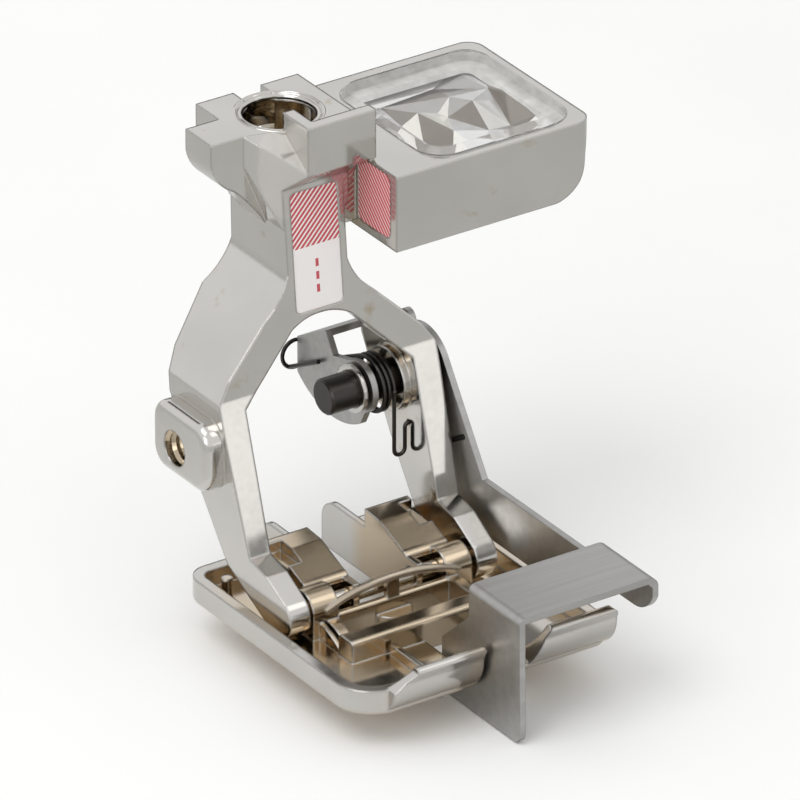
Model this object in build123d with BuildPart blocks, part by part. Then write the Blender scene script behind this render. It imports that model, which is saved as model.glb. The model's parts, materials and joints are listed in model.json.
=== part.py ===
from build123d import *
from math import acos, atan2, cos, degrees, hypot, sin
import os

# Frame: X to the right, Y to the back, Z up, millimetres.
# Origin on the socket axis, in the top plane of the head.

# Socket and head
socket_r = 2.4
socket_lip = 0.38
socket_deep = 3.4
socket_cone = 2.6
socket_taper = 24
head_half = 3.95
head_back = 3.85
head_front = 5.35
head_thick = 2.2
funnel_end = 6.4
slot_w = 2.1
ear_reach = 6.45
ear_front = 1.8
ear_back = 1.2
ear_thick = 1.5
wall_x = 1.3
wall_thick = 0.85
wall_rise = 1.25
ramp_drop = 2.0

# Neck and fork, seen from the front
neck_half = 2.3
neck_end = 9.4
flare_x = 4.2
flare_z = 12.1
shoulder_x = 7.5
shoulder_z = 15.3
elbow_x = 8.42
elbow_z = 16.7
ankle_x = 8.0
arch_top = 12.6
arch_half = 2.3
arch_slope_z = 13.25
inner_elbow_x = 6.5
inner_elbow_z = 17.4

# Fork seen from the side
neck_front = 3.9
neck_back = 2.45
chin_z = 3.5
crotch_front = 4.75
crotch_z = 12.5
knee_front = 5.6
knee_z = 16.5
bend_front = 8.7
bend_z = 26.6
bend_back = 3.1
bend_back_z = 24.0
hip_back = 2.55
hip_z = 12.3
knee_back = 0.3

# Hinge line of the sole
axle_y = -11.9
axle_z = -29.4
axle_r = 0.55
axle_blind = 0.8
axle_edge = 0.12
eye_r = 1.5
running_clear = 0.05

# Screw lug on the left elbow
lug_reach = 9.75
lug_y = -2.85
lug_z = -20.45
lug_w = 6.6
lug_h = 4.9
lug_corner = 1.5
lug_round = 0.6
lug_root = 0.8
lug_hole_y = -2.3
lug_hole_z = -20.8
lug_hole_r = 1.25

# Sensor box
box_left = 3.6
box_right = 19.0
box_front = 8.25
box_back = 5.8
box_top = 2.4
box_deep = 5.4
box_corner = 1.2
window_left = 6.9
window_right = 18.3
window_front = 7.45
window_back = 4.7
window_corner = 2.0
window_deep = 2.6
window_thick = 1.0
window_rise = 0.45
window_bevel = 0.4
mirror_thick = 0.4
facet_w = 2.4
facet_rise = 0.7
facet_taper = 40

# Labels
label_w = 3.6
label_top = 3.9
label_bottom = 12.3
label_sunk = 0.15
label_thick = 0.1
label_corner = 0.35
side_label_front = 7.5
side_label_back = 3.75
side_label_top = 2.65
side_label_low = 7.2
side_label_corner = 0.6

# Pivot of the guide
pivot_y = -3.4
pivot_z = -19.75
pivot_r = 1.25
pivot_end = 1.05
pivot_head_r = 1.9
pivot_head = 0.4
pivot_edge = 0.15
washer_w = 0.45
washer_thick = 0.3
boss_r = 2.25
boss_reach = 0.55

# Sheet-metal guide
sheet = 0.45
arm_x = 8.75
arm_hub_r = 3.1
rail_top = 24.95
rail_low = 28.85
plate_left = 0.15
plate_right = 10.95
plate_front = 27.6
plate_back = 21.8
blade_low = 34.1
blade_back = 18.7
flange_low = 27.9
eye_plate_x = 3.8
eye_plate_r = 1.8
web_front_y = 0.85
web_front_z = 17.55
web_back_y = 3.8
web_back_z = 19.15
tab_r = 0.7
plate_bend = 0.8
blade_corner = 0.9
arm_knee_y = 10.6
part_gap = 0.3
mark_y = -7.75
mark_z = -23.1
mark_long = 1.9
mark_wide = 0.38
mark_angle = -31

# Sole
sole_left = 9.3
sole_right = 10.2
sole_back = 2.6
sole_front = 23.3
sole_low = 31.8
floor_thick = 0.65
rim_top = 29.9
rim_w = 0.8
corner_front = 3.0
corner_right = 1.0
corner_back = 1.5
sole_round = 0.5
toe_front = 24.35
toe_top = 28.45
toe_thick = 0.75
left_toe_out = 5.4
toe_lean = 1.6
toe_corner = 0.8
gap_left = 0.15
gap_right = 3.5
gap_lean = 1.7
feed_half = 2.25
feed_front = 12.7
bar_w = 0.45
bar_back = 1.4
bar_top = 28.3
block_out = 5.6
block_back = 6.5
block_front = 11.3
block_top = 26.95
block_nose = 28.05
ear_out = 6.2
ear_in = 4.2
block_notch = 1.0
block_notch_deep = 0.8
ear_disc = 1.35
arch_y = 13.05
arch_r = 0.28
arch_out = 5.2
arch_peak = 28.3
arch_sides = 10
arch_foot = 29.3
sill_top = 29.9
sill_w = 0.6
post_w = 0.9
post_base_r = 1.4
post_base_top = 30.6
needle_half = 4.3
needle_front = 15.6
needle_wall = 0.8
needle_wall_low = 30.9
side_rib = 0.3
stop_x = -7.75
stop_y = -5.4
stop_r = 0.38
stop_top = 29.5
cross_front = 17.2
cross_left = 5.8
cross_right = 5.0
cross_high = 29.6
cross_round = 0.3
rib_w = 0.45
rib_top = 30.4

# Return spring
spring_wire = 0.3
spring_r = 1.92
spring_gap = 0.12
spring_turns = 2
spring_pitch = 0.36
ring_x = 3.85
ring_z = 20.6
ring_r = 1.0
ring_gap = 0.2
hook_tip_y = 0.85
hook_tip_z = 19.7
loop_low = 24.5
loop_anchor_z = 22.3
loop_hole = 0.8
loop_bend = 0.45
wire_sides = 6
joint_r = 0.18


loop_y = pivot_y - spring_r

# Head slab with the socket opening, ear and raised stop wall
with BuildPart() as head:
    with BuildSketch(Plane.XY):
        with BuildLine():
            Polyline(
                (-head_half, head_back),
                (head_half, head_back),
                (head_half, -head_front),
                (-wall_x, -head_front),
                (-head_half, -ear_front),
                close=True,
            )
        make_face()
    extrude(amount=-head_thick)
    with BuildSketch(Plane.XZ.offset(-ear_back)):
        with BuildLine():
            l1 = Line((0, 0), (-ear_reach, 0))
            l2 = Line(l1 @ 1, (-ear_reach, -ear_thick))
            l3 = ThreePointArc(
                l2 @ 1,
                (-ear_reach + 0.55, -ear_thick - 1.3),
                (-ear_reach + 1.75, -ear_thick - 2.3),
            )
            l4 = ThreePointArc(
                l3 @ 1,
                (-neck_half - 1.0, -ear_thick - 3.8),
                (-neck_half, -funnel_end - 0.3),
            )
            l5 = Line(l4 @ 1, (0, -funnel_end - 0.3))
            Line(l5 @ 1, l1 @ 0)
        make_face()
    extrude(amount=ear_front + ear_back)
    with BuildSketch(Plane.XY):
        with Locations(((head_half - wall_x) / 2, -head_front + wall_thick / 2)):
            Rectangle(head_half + wall_x, wall_thick)
        with Locations((-wall_x + wall_thick / 2, -(head_front + socket_r) / 2)):
            Rectangle(wall_thick, head_front - socket_r)
    extrude(amount=wall_rise)

# Funnel between the head slab and the neck
with BuildPart() as funnel:
    with BuildSketch(Plane.XZ):
        with BuildLine():
            Polyline(
                (-head_half, -head_thick),
                (-neck_half, -funnel_end),
                (neck_half, -funnel_end),
                (head_half, -head_thick),
                close=True,
            )
        make_face()
    extrude(amount=head_front + 1, both=True)
    with BuildSketch(Plane.YZ):
        with BuildLine():
            Polyline(
                (head_back, -head_thick + 0.5),
                (head_back, -head_thick - 0.6),
                (neck_back, -funnel_end),
                (-neck_front - 0.1, -funnel_end),
                (-neck_front, -chin_z),
                (-head_front, -head_thick),
                (-head_front, -head_thick + 0.5),
                close=True,
            )
        make_face()
    extrude(amount=head_half + 1, both=True, mode=Mode.INTERSECT)
    with BuildSketch(Plane.XY.offset(-head_thick)):
        with BuildLine():
            Polyline(
                (-head_half, -ear_front),
                (-wall_x, -head_front),
                (-head_half, -head_front),
                close=True,
            )
        make_face()
    extrude(amount=-funnel_end, mode=Mode.SUBTRACT)

# Tool that slopes the front left of the head down to the front
ramp_dir = Vector(-wall_x + head_half, -head_front + ear_front, -ramp_drop)
ramp_side = Vector(head_half - wall_x, -socket_r + ear_front, 0)
ramp_plane = Plane(
    origin=(-head_half, -ear_front, 0),
    x_dir=ramp_side,
    z_dir=ramp_dir.cross(ramp_side) if ramp_dir.cross(ramp_side).Z > 0 else ramp_side.cross(ramp_dir),
)
with BuildPart() as ramp:
    with BuildSketch(ramp_plane):
        Rectangle(4 * head_front, 4 * head_front)
    extrude(amount=head_front)
    with BuildSketch(Plane.XY.offset(-2 * head_thick)):
        with Locations((-wall_x - head_front, -ear_front - 2 * head_front)):
            Rectangle(2 * head_front, 4 * head_front)
    extrude(amount=4 * head_thick, mode=Mode.INTERSECT)

# Fork: neck and two legs, front outline cut by the side outline
with BuildPart() as fork:
    with BuildSketch(Plane.XZ):
        with BuildLine():
            n1 = Line((0, -1), (neck_half, -1))
            n2 = Line(n1 @ 1, (neck_half, -neck_end))
            n3 = ThreePointArc(n2 @ 1, (neck_half + 0.55, -neck_end - 1.25), (flare_x, -flare_z))
            n4 = Line(n3 @ 1, (shoulder_x, -shoulder_z))
            n5 = Line(n4 @ 1, (elbow_x, -elbow_z))
            n6 = Line(n5 @ 1, (elbow_x, -elbow_z - 2))
            n7 = Line(n6 @ 1, (ankle_x, axle_z - eye_r))
            n8 = Line(n7 @ 1, (inner_elbow_x, axle_z - eye_r))
            n9 = Line(n8 @ 1, (inner_elbow_x, -inner_elbow_z))
            n10 = Line(n9 @ 1, (arch_half, -arch_slope_z))
            n11 = ThreePointArc(n10 @ 1, (arch_half * 0.55, -arch_top - 0.17), (0, -arch_top))
            Line(n11 @ 1, n1 @ 0)
        make_face()
        mirror(about=Plane.YZ)
    extrude(amount=20, both=True)
    with BuildSketch(Plane.YZ):
        with BuildLine():
            Polyline(
                (neck_back, -1),
                (-neck_front, -1),
                (-neck_front, -chin_z),
                (-crotch_front, -crotch_z),
                (-knee_front, -knee_z),
                (-bend_front, -bend_z),
                (-bend_front - 1.9, -bend_z - 0.4),
                (axle_y - 0.55, axle_z + eye_r - 0.1),
                (axle_y, axle_z - eye_r),
                (axle_y + 1.4, axle_z - eye_r + 0.35),
                (-bend_back - 2.9, -bend_back_z - 4.2),
                (-bend_back, -bend_back_z),
                (knee_back, -elbow_z - 1.3),
                (knee_back + 0.1, -elbow_z),
                (hip_back, -hip_z),
                (neck_back - 0.2, -neck_end),
                close=True,
            )
        make_face()
        with Locations((axle_y, axle_z)):
            Circle(eye_r)
    extrude(amount=12, both=True, mode=Mode.INTERSECT)

# Shell of the sensor box
with BuildPart() as box:
    with BuildSketch(Plane.XZ.offset(-box_back)):
        with BuildLine():
            b1 = Line((box_left, -box_top), (box_right, -box_top))
            b2 = Line(b1 @ 1, (box_right - 0.55, -box_top - 2.6))
            b3 = ThreePointArc(
                b2 @ 1,
                (box_right - 1.35, -box_top - 4.6),
                (box_right - 2.9, -box_top - box_deep),
            )
            b4 = Line(b3 @ 1, (box_left, -box_top - box_deep))
            Line(b4 @ 1, b1 @ 0)
        make_face()
    extrude(amount=box_front + box_back)
    with BuildSketch(Plane.XY):
        with Locations(((box_left + box_right) / 2 - box_corner, (box_back - box_front) / 2)):
            RectangleRounded(box_right - box_left + 2 * box_corner, box_front + box_back, box_corner)
    extrude(amount=-box_top - box_deep - 1, mode=Mode.INTERSECT)
    with BuildSketch(Plane.XY.offset(-box_top)):
        with Locations(((window_left + window_right) / 2, (window_back - window_front) / 2)):
            RectangleRounded(window_right - window_left, window_front + window_back, window_corner)
    extrude(amount=-window_deep, mode=Mode.SUBTRACT)

# Pad round the accessory screw, on the left elbow
with BuildPart() as lug:
    with BuildSketch(Plane.YZ.offset(-lug_reach)):
        with Locations((lug_y, lug_z)):
            RectangleRounded(lug_w, lug_h, lug_corner)
    extrude(amount=lug_reach - elbow_x + lug_root)
    fillet(lug.faces().sort_by(Axis.X)[0].edges(), lug_round)

# One casting: head, neck, fork, lug, box and the web that carries the box
with BuildPart() as fork_body:
    add(head.part)
    add(funnel.part)
    add(ramp.part, mode=Mode.SUBTRACT)
    add(fork.part)
    with BuildSketch(Plane.XY.offset(-box_top)):
        with Locations(((neck_half + box_left) / 2, (neck_back - neck_front) / 2 + 0.2)):
            Rectangle(box_left - neck_half + 1.0, neck_front + neck_back - 0.4)
    extrude(amount=-box_deep + 0.4)
    add(box.part)
    add(lug.part)
    with BuildSketch(Plane.YZ.offset(inner_elbow_x - boss_reach)):
        with Locations((pivot_y, pivot_z)):
            Circle(boss_r)
    extrude(amount=boss_reach + 0.5)
    # socket with its lip, and the slot behind it
    with BuildSketch(Plane.XY.offset(wall_rise)):
        Circle(socket_r)
    extrude(amount=-wall_rise - socket_deep, mode=Mode.SUBTRACT)
    with BuildSketch(Plane.XY.offset(-socket_deep)):
        Circle(socket_r)
    extrude(amount=-socket_cone, taper=socket_taper, mode=Mode.SUBTRACT)
    with BuildSketch(Plane.XY):
        Circle(socket_r + socket_lip)
    extrude(amount=-socket_lip, taper=45, mode=Mode.SUBTRACT)
    with BuildSketch(Plane.XY.offset(1)):
        with Locations((0, head_back)):
            Rectangle(slot_w, 2 * head_back)
    extrude(amount=-1 - head_thick - 1.0, mode=Mode.SUBTRACT)
    # bores
    with BuildSketch(Plane.YZ.offset(-inner_elbow_x - axle_blind)):
        with Locations((axle_y, axle_z)):
            Circle(axle_r)
    extrude(amount=inner_elbow_x + axle_blind + ankle_x + 1, mode=Mode.SUBTRACT)
    with BuildSketch(Plane.YZ.offset(inner_elbow_x)):
        with Locations((loop_y, -loop_anchor_z)):
            Circle(spring_wire / 2 + running_clear)
    extrude(amount=loop_hole, mode=Mode.SUBTRACT)
    with BuildSketch(Plane.YZ):
        with Locations((pivot_y, pivot_z)):
            Circle(pivot_r)
    extrude(amount=elbow_x + 2, mode=Mode.SUBTRACT)
    with BuildSketch(Plane.YZ.offset(-lug_reach - 0.1)):
        with Locations((lug_hole_y, lug_hole_z)):
            Circle(lug_hole_r)
    extrude(amount=lug_reach - inner_elbow_x + 0.2, mode=Mode.SUBTRACT)


# Sole: tray with rim, upturned toes, feed cut-out, hinge blocks and ribs
floor_z = -sole_low + floor_thick
mid_x = (sole_right - sole_left) / 2
with BuildPart() as tray:
    with BuildSketch(Plane.XY.offset(-sole_low)) as tray_plan:
        with Locations((mid_x, -(sole_front + sole_back) / 2)):
            Rectangle(sole_left + sole_right, sole_front - sole_back)
        fillet(tray_plan.vertices().group_by(Axis.Y)[0].sort_by(Axis.X)[0], corner_front)
        fillet(tray_plan.vertices().group_by(Axis.Y)[0].sort_by(Axis.X)[-1], corner_right)
        fillet(tray_plan.vertices().group_by(Axis.Y)[-1], corner_back)
    extrude(amount=sole_low - rim_top)
    fillet(tray.faces().sort_by(Axis.Z)[0].edges(), sole_round)
    with BuildSketch(Plane.XY.offset(floor_z)) as tray_hollow:
        with Locations((mid_x, -(sole_front + sole_back) / 2)):
            Rectangle(sole_left + sole_right - 2 * rim_w, sole_front - sole_back - 2 * rim_w)
        fillet(tray_hollow.vertices().group_by(Axis.Y)[0].sort_by(Axis.X)[0], corner_front - rim_w)
        fillet(tray_hollow.vertices().group_by(Axis.Y)[0].sort_by(Axis.X)[-1], corner_right - rim_w)
        fillet(tray_hollow.vertices().group_by(Axis.Y)[-1], corner_back - rim_w)
    extrude(amount=sole_low, mode=Mode.SUBTRACT)

with BuildPart() as toes:
    with BuildSketch(Plane.YZ.offset(-left_toe_out - toe_lean)):
        with BuildLine():
            t1 = Line((-sole_front + 3, -sole_low), (-sole_front + 0.7, -sole_low))
            t2 = ThreePointArc(
                t1 @ 1,
                (-sole_front - 0.2, -sole_low + 0.75),
                (-toe_front + 0.3, -toe_top - 0.9),
            )
            t3 = Line(t2 @ 1, (-toe_front, -toe_top - 0.3))
            t4 = ThreePointArc(
                t3 @ 1,
                (-toe_front + 0.2, -toe_top),
                (-toe_front + toe_thick - 0.1, -toe_top - 0.1),
            )
            t5 = ThreePointArc(
                t4 @ 1,
                (-sole_front + 0.75, -sole_low + 1.5),
                (-sole_front + 2, floor_z),
            )
            t6 = Line(t5 @ 1, (-sole_front + 3, floor_z))
            Line(t6 @ 1, t1 @ 0)
        make_face()
    extrude(amount=left_toe_out + toe_lean + sole_right)
    with BuildSketch(Plane.XZ.offset(sole_front - 5)):
        with BuildLine():
            Polyline(
                (-gap_left, -sole_low - 1),
                (gap_right, -sole_low - 1),
                (gap_right, -sole_low),
                (gap_right + gap_lean, -toe_top + 0.5),
                (-gap_left, -toe_top + 0.5),
                close=True,
            )
        make_face()
        with BuildLine():
            Polyline(
                (-left_toe_out, -toe_top + 0.5),
                (-left_toe_out, -toe_top - 0.3),
                (-left_toe_out - toe_lean, -rim_top),
                (-sole_left, -rim_top),
                (-sole_left, -toe_top + 0.5),
                close=True,
            )
        make_face()
        with BuildLine():
            q1 = Line((sole_right + 0.5, -toe_top + 0.5), (sole_right - toe_corner, -toe_top + 0.5))
            q2 = Line(q1 @ 1, (sole_right - toe_corner, -toe_top))
            q3 = ThreePointArc(
                q2 @ 1,
                (sole_right - 0.293 * toe_corner, -toe_top - 0.293 * toe_corner),
                (sole_right, -toe_top - toe_corner),
            )
            q4 = Line(q3 @ 1, (sole_right + 0.5, -toe_top - toe_corner))
            Line(q4 @ 1, q1 @ 0)
        make_face()
    extrude(amount=8, mode=Mode.SUBTRACT)

# Thin round rib that arches over the axle's front from ear to ear
with BuildPart() as arch:
    with BuildLine():
        bow = ThreePointArc(
            (-arch_out, -arch_y, -arch_foot),
            (0, -arch_y, -arch_peak),
            (arch_out, -arch_y, -arch_foot),
        )
    with BuildSketch(Plane(origin=bow @ 0, z_dir=bow % 0)):
        RegularPolygon(arch_r, arch_sides)
    sweep()

with BuildPart() as sole:
    add(tray.part)
    with BuildSketch(Plane.XY.offset(floor_z)):
        with Locations(((sole_right - left_toe_out) / 2, -sole_front)):
            Rectangle(sole_right + left_toe_out, 2 * rim_w + 0.4)
    extrude(amount=sole_low, mode=Mode.SUBTRACT)
    add(toes.part)
    with BuildSketch(Plane.XY.offset(-sole_low - 0.1)):
        with Locations(((gap_right - gap_left) / 2, -(toe_front + cross_front) / 2 - 1)):
            Rectangle(gap_right + gap_left, toe_front - cross_front + 2)
    extrude(amount=sole_low - rim_top + 0.1, mode=Mode.SUBTRACT)
    # cross bar in front of the needle opening
    with BuildSketch(Plane.YZ.offset(-cross_left)):
        with BuildLine():
            c1 = Line((-needle_front, -sole_low), (-needle_front, -cross_high - cross_round))
            c2 = ThreePointArc(
                c1 @ 1,
                (-needle_front - 0.3 * cross_round, -cross_high - 0.3 * cross_round),
                (-needle_front - cross_round, -cross_high),
            )
            c3 = Line(c2 @ 1, (-cross_front + cross_round, -cross_high))
            c4 = ThreePointArc(
                c3 @ 1,
                (-cross_front + 0.3 * cross_round, -cross_high - 0.3 * cross_round),
                (-cross_front, -cross_high - cross_round),
            )
            c5 = Line(c4 @ 1, (-cross_front, -sole_low))
            Line(c5 @ 1, c1 @ 0)
        make_face()
    extrude(amount=cross_left + cross_right)
    # right wall of the needle opening
    with BuildSketch(Plane.XY.offset(-sole_low)):
        with Locations((needle_half + needle_wall / 2, -(arch_y + cross_front) / 2)):
            Rectangle(needle_wall, cross_front - arch_y)
    extrude(amount=sole_low - cross_high)
    # left wall, which slopes down to the front, and the thin rib beside it
    for inner, width in ((needle_half, needle_wall), (needle_half + needle_wall + side_rib, side_rib)):
        with BuildSketch(Plane.YZ.offset(-inner)):
            with BuildLine():
                s1 = Line((-arch_y, -sole_low), (-arch_y, -sill_top))
                s2 = ThreePointArc(
                    s1 @ 1,
                    (-(arch_y + needle_front) / 2, -sill_top - 0.35),
                    (-needle_front, -needle_wall_low),
                )
                s3 = Line(s2 @ 1, (-cross_front, -needle_wall_low))
                s4 = Line(s3 @ 1, (-cross_front, -sole_low))
                Line(s4 @ 1, s1 @ 0)
            make_face()
        extrude(amount=-width)
    # sill behind the needle opening, with its round top edge
    with BuildSketch(Plane.YZ.offset(-needle_half)):
        with Locations((-arch_y, -(sole_low + sill_top) / 2)):
            Rectangle(sill_w, sole_low - sill_top)
        with Locations((-arch_y, -sill_top)):
            Circle(sill_w / 2)
    extrude(amount=2 * needle_half)
    # low ribs in the tray behind the left toe
    with BuildSketch(Plane.XY.offset(-sole_low)):
        with Locations((-left_toe_out / 2 - gap_left, -(cross_front + sole_front) / 2)):
            Rectangle(rib_w, sole_front - cross_front - 0.5)
    extrude(amount=sole_low - rib_top)
    with BuildSketch(Plane.XY.offset(-sole_low)):
        with Locations((stop_x, stop_y)):
            Circle(stop_r)
    extrude(amount=sole_low - stop_top)
    # walls beside the feed cut-out, hinge blocks and ears
    for side in (-1, 1):
        with BuildSketch(Plane.YZ.offset(side * feed_half)):
            with BuildLine():
                r1 = Line((-feed_front, -sole_low), (-bar_back, -sole_low))
                r2 = Line(r1 @ 1, (-bar_back, -bar_top - 1.3))
                r3 = ThreePointArc(
                    r2 @ 1,
                    (-bar_back - 0.4, -bar_top - 0.45),
                    (-bar_back - 1.4, -bar_top),
                )
                r4 = Line(r3 @ 1, (-feed_front, -bar_top))
                Line(r4 @ 1, r1 @ 0)
            make_face()
        extrude(amount=side * bar_w)
        with BuildSketch(Plane.YZ.offset(side * feed_half)):
            with BuildLine():
                k1 = Line((-block_back, -sole_low), (-block_back, -block_top))
                k2 = Line(k1 @ 1, (-block_back - 1.7, -block_top - 0.1))
                k3 = Line(k2 @ 1, (-block_front + 0.4, -block_nose))
                k4 = ThreePointArc(
                    k3 @ 1,
                    (-block_front - 0.1, -block_nose - 0.4),
                    (-block_front + 0.2, -block_nose - 0.9),
                )
                k5 = Line(k4 @ 1, (-block_front + 1.2, -block_nose - 1.6))
                k6 = Line(k5 @ 1, (-block_front + 1.2, -sole_low))
                Line(k6 @ 1, k1 @ 0)
            make_face()
        extrude(amount=side * (block_out - feed_half))
        with BuildSketch(Plane.YZ.offset(side * (block_out - block_notch))):
            with Locations((-(block_back + block_front) / 2 + 0.7, -block_top)):
                Rectangle(block_front - block_back - 2.4, 2 * block_notch_deep)
        extrude(amount=side * block_notch, mode=Mode.SUBTRACT)
        with BuildSketch(Plane.YZ.offset(side * ear_in)):
            with Locations((axle_y, axle_z)):
                Circle(ear_disc)
            with Locations((axle_y + 0.9, (axle_z - sole_low) / 2 + 0.1)):
                Rectangle(2 * ear_disc + 1.8, -0.2 + sole_low + axle_z)
        extrude(amount=side * (ear_out - ear_in))
    # openings through the floor
    with BuildSketch(Plane.XY.offset(-sole_low - 0.1)):
        with Locations((0, -feed_front / 2 + 0.5)):
            Rectangle(2 * feed_half, feed_front - 1)
    extrude(amount=sole_low, mode=Mode.SUBTRACT)
    with BuildSketch(Plane.XY.offset(-sole_low - 0.1)):
        with Locations((0, -(arch_y + sill_w / 2 + needle_front) / 2)):
            Rectangle(2 * needle_half, needle_front - arch_y - sill_w / 2)
    extrude(amount=sole_low - cross_high + 1, mode=Mode.SUBTRACT)
    # arch with its middle post and the post's half-round base
    add(arch.part)
    with BuildSketch(Plane.XY.offset(-sole_low)):
        with Locations((0, -arch_y)):
            Rectangle(post_w, sill_w * 0.8)
    extrude(amount=sole_low - arch_peak)
    with BuildSketch(Plane.XY.offset(-sole_low)):
        with Locations((0, -arch_y)):
            Circle(post_base_r)
        with Locations((0, -arch_y + post_base_r)):
            Rectangle(2 * post_base_r, 2 * post_base_r, mode=Mode.SUBTRACT)
    extrude(amount=sole_low - post_base_top)
    with BuildSketch(Plane.YZ.offset(-ear_out - 0.1)):
        with Locations((axle_y, axle_z)):
            Circle(axle_r + running_clear)
    extrude(amount=2 * ear_out + 0.2, mode=Mode.SUBTRACT)

# Axle of the sole, pressed into the two eyes of the fork
with BuildPart() as hinge_axle:
    with BuildSketch(Plane.YZ.offset(-inner_elbow_x - axle_blind)):
        with Locations((axle_y, axle_z)):
            Circle(axle_r)
    extrude(amount=inner_elbow_x + axle_blind + ankle_x)
    chamfer(hinge_axle.edges().filter_by(GeomType.CIRCLE), axle_edge)

# Guide: outer arm, rail, plate, blade, flange, web and inner eye plate, one bent sheet
with BuildPart() as edge_guide:
    with BuildSketch(Plane.YZ.offset(arm_x)):
        with Locations((pivot_y, pivot_z)):
            Circle(arm_hub_r)
        with BuildLine():
            Polyline(
                (pivot_y - arm_hub_r * 0.862, pivot_z + arm_hub_r * 0.507),
                (-arm_knee_y, -rail_top),
                (-plate_back - 0.1, -rail_top),
                (-plate_back - 0.1, -rail_low),
                (-arm_knee_y + 2.2, -rail_low),
                (pivot_y + arm_hub_r * 0.862, pivot_z - arm_hub_r * 0.507),
                close=True,
            )
        make_face()
        with BuildLine():
            Polyline(
                (pivot_y, pivot_z + arm_hub_r - 0.6),
                (web_front_y, -web_front_z),
                (web_back_y, -web_back_z),
                (web_back_y - 0.4, -web_back_z - 1.2),
                (pivot_y + 1, pivot_z - 1),
                close=True,
            )
        make_face()
        with Locations((pivot_y + 1.9, pivot_z + 2.75)):
            Circle(tab_r)
    extrude(amount=sheet)
    with BuildSketch(Plane.YZ.offset(eye_plate_x)):
        with Locations((pivot_y, pivot_z)):
            Circle(eye_plate_r)
        with BuildLine():
            i1 = Line(
                (pivot_y + 0.9, pivot_z + eye_plate_r * 0.85),
                (web_front_y - 1.3, -web_front_z - 1.2),
            )
            i2 = Line(i1 @ 1, (web_front_y - 0.4, -web_front_z + 0.25))
            i3 = Line(i2 @ 1, (web_back_y, -web_back_z))
            i4 = Line(i3 @ 1, (web_back_y, -web_back_z - 2.6))
            i5 = ThreePointArc(i4 @ 1, (-0.3, pivot_z - 3.55), (pivot_y - 0.3, pivot_z - 2.6))
            i6 = Line(i5 @ 1, (pivot_y - eye_plate_r * 0.9, pivot_z))
            Line(i6 @ 1, i1 @ 0)
        make_face()
    extrude(amount=sheet)
    with BuildSketch(Plane.YZ.offset(eye_plate_x)):
        with BuildLine():
            Polyline(
                (web_front_y, -web_front_z),
                (web_back_y, -web_back_z),
                (web_back_y - sheet * 0.48, -web_back_z - sheet * 0.88),
                (web_front_y - sheet * 0.48, -web_front_z - sheet * 0.88),
                close=True,
            )
        make_face()
    extrude(amount=arm_x + sheet - eye_plate_x)
    with BuildSketch(Plane.XZ.offset(plate_back)):
        with BuildLine():
            g1 = Line((plate_left, -rail_top - 1.2), (plate_left, -rail_top - 0.5))
            g2 = ThreePointArc(
                g1 @ 1,
                (plate_left + 0.15, -rail_top - 0.15),
                (plate_left + 0.5, -rail_top),
            )
            g3 = Line(g2 @ 1, (plate_right - plate_bend, -rail_top))
            g4 = ThreePointArc(
                g3 @ 1,
                (plate_right - 0.23, -rail_top - 0.23),
                (plate_right, -rail_top - plate_bend),
            )
            g5 = Line(g4 @ 1, (plate_right, -rail_top - 1.2))
            g6 = Line(g5 @ 1, (plate_right - sheet, -rail_top - 1.2))
            g7 = Line(g6 @ 1, (plate_right - sheet, -rail_top - plate_bend))
            g8 = Line(g7 @ 1, (plate_right - plate_bend, -rail_top - sheet))
            g9 = Line(g8 @ 1, (plate_left + 0.5, -rail_top - sheet))
            g10 = Line(g9 @ 1, (plate_left + sheet, -rail_top - 0.5))
            g11 = Line(g10 @ 1, (plate_left + sheet, -rail_top - 1.2))
            Line(g11 @ 1, g1 @ 0)
        make_face()
    extrude(amount=plate_front - plate_back)
    with BuildSketch(Plane.YZ.offset(plate_left)):
        with BuildLine():
            d1 = Line((-plate_front, -rail_top - 1), (-plate_front - 0.1, -blade_low + blade_corner))
            d2 = ThreePointArc(
                d1 @ 1,
                (-plate_front + 0.15, -blade_low + 0.2),
                (-plate_front + 0.8, -blade_low),
            )
            d3 = Line(d2 @ 1, (-blade_back - blade_corner, -blade_low))
            d4 = ThreePointArc(
                d3 @ 1,
                (-blade_back - 0.26, -blade_low + 0.26),
                (-blade_back, -blade_low + blade_corner),
            )
            d5 = Line(d4 @ 1, (-blade_back, -sole_low + 1.6))
            d6 = Line(d5 @ 1, (-plate_back, -rail_top - 2.4))
            d7 = Line(d6 @ 1, (-plate_back, -rail_top - 1))
            Line(d7 @ 1, d1 @ 0)
        make_face()
    extrude(amount=sheet)
    with BuildSketch(Plane.YZ.offset(plate_right)):
        with BuildLine():
            f1 = Line((-plate_front, -rail_top - 1), (-plate_front, -rail_top - 1.5))
            f2 = ThreePointArc(
                f1 @ 1,
                (-plate_front + 0.7, -flange_low + 0.5),
                (-plate_front + 2.2, -flange_low),
            )
            f3 = Line(f2 @ 1, (-plate_back - 0.6, -flange_low))
            f4 = Line(f3 @ 1, (-plate_back, -flange_low + 0.6))
            f5 = Line(f4 @ 1, (-plate_back, -rail_top - 1))
            Line(f5 @ 1, f1 @ 0)
        make_face()
    extrude(amount=-sheet)
    # pivot holes and the short witness slot
    with BuildSketch(Plane.YZ):
        with Locations((pivot_y, pivot_z)):
            Circle(pivot_r + running_clear)
    extrude(amount=arm_x + 2, mode=Mode.SUBTRACT)
    with BuildSketch(Plane.YZ.offset(arm_x - 0.1)):
        with Locations(Location((mark_y, mark_z), mark_angle)):
            SlotOverall(mark_long, mark_wide)
    extrude(amount=sheet + 0.2, mode=Mode.SUBTRACT)

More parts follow.
